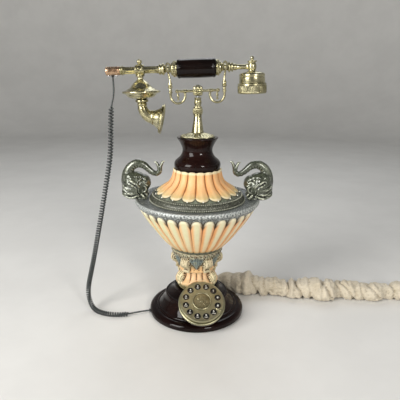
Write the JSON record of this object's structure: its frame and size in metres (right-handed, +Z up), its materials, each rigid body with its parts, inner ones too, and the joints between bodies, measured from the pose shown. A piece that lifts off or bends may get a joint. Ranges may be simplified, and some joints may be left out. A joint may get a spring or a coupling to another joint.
{
  "type": "novelty urn telephone",
  "caption": "Ornamental desk telephone shaped as a two-handled fluted urn, with a push-button dial on the foot, a fork cradle and a brass handset with horn mouthpiece.",
  "frame": {"origin": "centre of the foot pad's underside, on the table", "axes": "+Z up the urn's axis; -Y is the front, towards which the dial faces; the handset lies along X with its mouthpiece at -X"},
  "size_m": [0.6695, 0.2154, 0.4089],
  "materials": {
    "felt": "matte felt",
    "plated_steel": "zinc plated",
    "dark_lacquer": "high gloss dark brown lacquer",
    "board_green": "solder resist",
    "cord_rubber": "satin",
    "antique_brass": "antique plated, satin",
    "black_plastic": "moulded gloss",
    "cream_resin": "hand coloured cast resin, pearl glaze",
    "peach_resin": "hand coloured cast resin, satin",
    "silver_resin": "speckled silver grey paint",
    "verdigris_resin": "grey green metallic paint",
    "copper": "polished copper plate",
    "line_cord_white": "moulded",
    "clear_plug": "clear polycarbonate",
    "linen": "crumpled woven linen"
  },
  "bodies": {
    "base": {"foot_pad": "felt", "base_plate": "plated_steel", "base_shell": "dark_lacquer", "base_screws": "plated_steel", "circuit_board": "board_green", "cord_grommets": "cord_rubber", "tie_rod": "plated_steel", "dial_housing": "antique_brass", "dial_face": "antique_brass", "dial_medallion": "antique_brass", "finger_stop": "antique_brass", "key_board": "board_green", "pedestal_stem": "cream_resin", "pedestal_capital": "cream_resin", "bowl": "peach_resin", "bowl_rim": "silver_resin", "petal_cover": "peach_resin", "neck": "dark_lacquer", "neck_disc": "antique_brass", "cradle_stem": "antique_brass", "hook_microswitch": "black_plastic", "plunger_spring": "plated_steel", "handle_left": "verdigris_resin", "handle_right": "verdigris_resin", "handset_cord_top": "cord_rubber", "handset_cord_curl": "cord_rubber", "handset_cord_tail": "cord_rubber", "line_cord": "line_cord_white", "line_cord_coil": "line_cord_white", "line_plug": "clear_plug", "cord_cover": "linen"},
    "cradle": {"hook_plunger": "plated_steel", "cradle_block": "antique_brass", "cradle_bar": "antique_brass", "hook_left": "antique_brass", "hook_right": "antique_brass"},
    "handset": {"grip": "dark_lacquer", "ferrules": "antique_brass", "mouthpiece_arm": "antique_brass", "end_cap": "copper", "earpiece_arm": "antique_brass", "transmitter_bell": "antique_brass", "mic_capsule": "black_plastic", "horn": "antique_brass", "receiver_cup": "antique_brass", "receiver_cap": "antique_brass", "speaker_capsule": "black_plastic"},
    "key_star": {"key_star": "black_plastic"},
    "key_1": {"key_1": "black_plastic"},
    "key_2": {"key_2": "black_plastic"},
    "key_3": {"key_3": "black_plastic"},
    "key_4": {"key_4": "black_plastic"},
    "key_5": {"key_5": "black_plastic"},
    "key_6": {"key_6": "black_plastic"},
    "key_7": {"key_7": "black_plastic"},
    "key_8": {"key_8": "black_plastic"},
    "key_9": {"key_9": "black_plastic"},
    "key_0": {"key_0": "black_plastic"},
    "key_hash": {"key_hash": "black_plastic"}
  },
  "joints": [
    {"name": "handset_lift", "type": "slide", "parent": "base", "child": "handset", "axis": [0, 0, 1], "range_m": [0, 0.04]},
    {"name": "hook_switch", "type": "slide", "parent": "base", "child": "cradle", "axis": [0, 0, 1], "range_m": [0, 0.004]},
    {"name": "press_star", "type": "slide", "parent": "base", "child": "key_star", "axis": [-0.0224, 0.5587, -0.829], "range_m": [0, 0.0012], "stiffness_N_per_m": 300, "springref_m": -0.0008},
    {"name": "press_1", "type": "slide", "parent": "base", "child": "key_1", "axis": [-0.0224, 0.5587, -0.829], "range_m": [0, 0.0012], "stiffness_N_per_m": 300, "springref_m": -0.0008},
    {"name": "press_2", "type": "slide", "parent": "base", "child": "key_2", "axis": [-0.0224, 0.5587, -0.829], "range_m": [0, 0.0012], "stiffness_N_per_m": 300, "springref_m": -0.0008},
    {"name": "press_3", "type": "slide", "parent": "base", "child": "key_3", "axis": [-0.0224, 0.5587, -0.829], "range_m": [0, 0.0012], "stiffness_N_per_m": 300, "springref_m": -0.0008},
    {"name": "press_4", "type": "slide", "parent": "base", "child": "key_4", "axis": [-0.0224, 0.5587, -0.829], "range_m": [0, 0.0012], "stiffness_N_per_m": 300, "springref_m": -0.0008},
    {"name": "press_5", "type": "slide", "parent": "base", "child": "key_5", "axis": [-0.0224, 0.5587, -0.829], "range_m": [0, 0.0012], "stiffness_N_per_m": 300, "springref_m": -0.0008},
    {"name": "press_6", "type": "slide", "parent": "base", "child": "key_6", "axis": [-0.0224, 0.5587, -0.829], "range_m": [0, 0.0012], "stiffness_N_per_m": 300, "springref_m": -0.0008},
    {"name": "press_7", "type": "slide", "parent": "base", "child": "key_7", "axis": [-0.0224, 0.5587, -0.829], "range_m": [0, 0.0012], "stiffness_N_per_m": 300, "springref_m": -0.0008},
    {"name": "press_8", "type": "slide", "parent": "base", "child": "key_8", "axis": [-0.0224, 0.5587, -0.829], "range_m": [0, 0.0012], "stiffness_N_per_m": 300, "springref_m": -0.0008},
    {"name": "press_9", "type": "slide", "parent": "base", "child": "key_9", "axis": [-0.0224, 0.5587, -0.829], "range_m": [0, 0.0012], "stiffness_N_per_m": 300, "springref_m": -0.0008},
    {"name": "press_0", "type": "slide", "parent": "base", "child": "key_0", "axis": [-0.0224, 0.5587, -0.829], "range_m": [0, 0.0012], "stiffness_N_per_m": 300, "springref_m": -0.0008},
    {"name": "press_hash", "type": "slide", "parent": "base", "child": "key_hash", "axis": [-0.0224, 0.5587, -0.829], "range_m": [0, 0.0012], "stiffness_N_per_m": 300, "springref_m": -0.0008}
  ],
  "couplings": [
    {"joint": "hook_switch", "follows": "handset_lift", "ratio": 0.1}
  ]
}
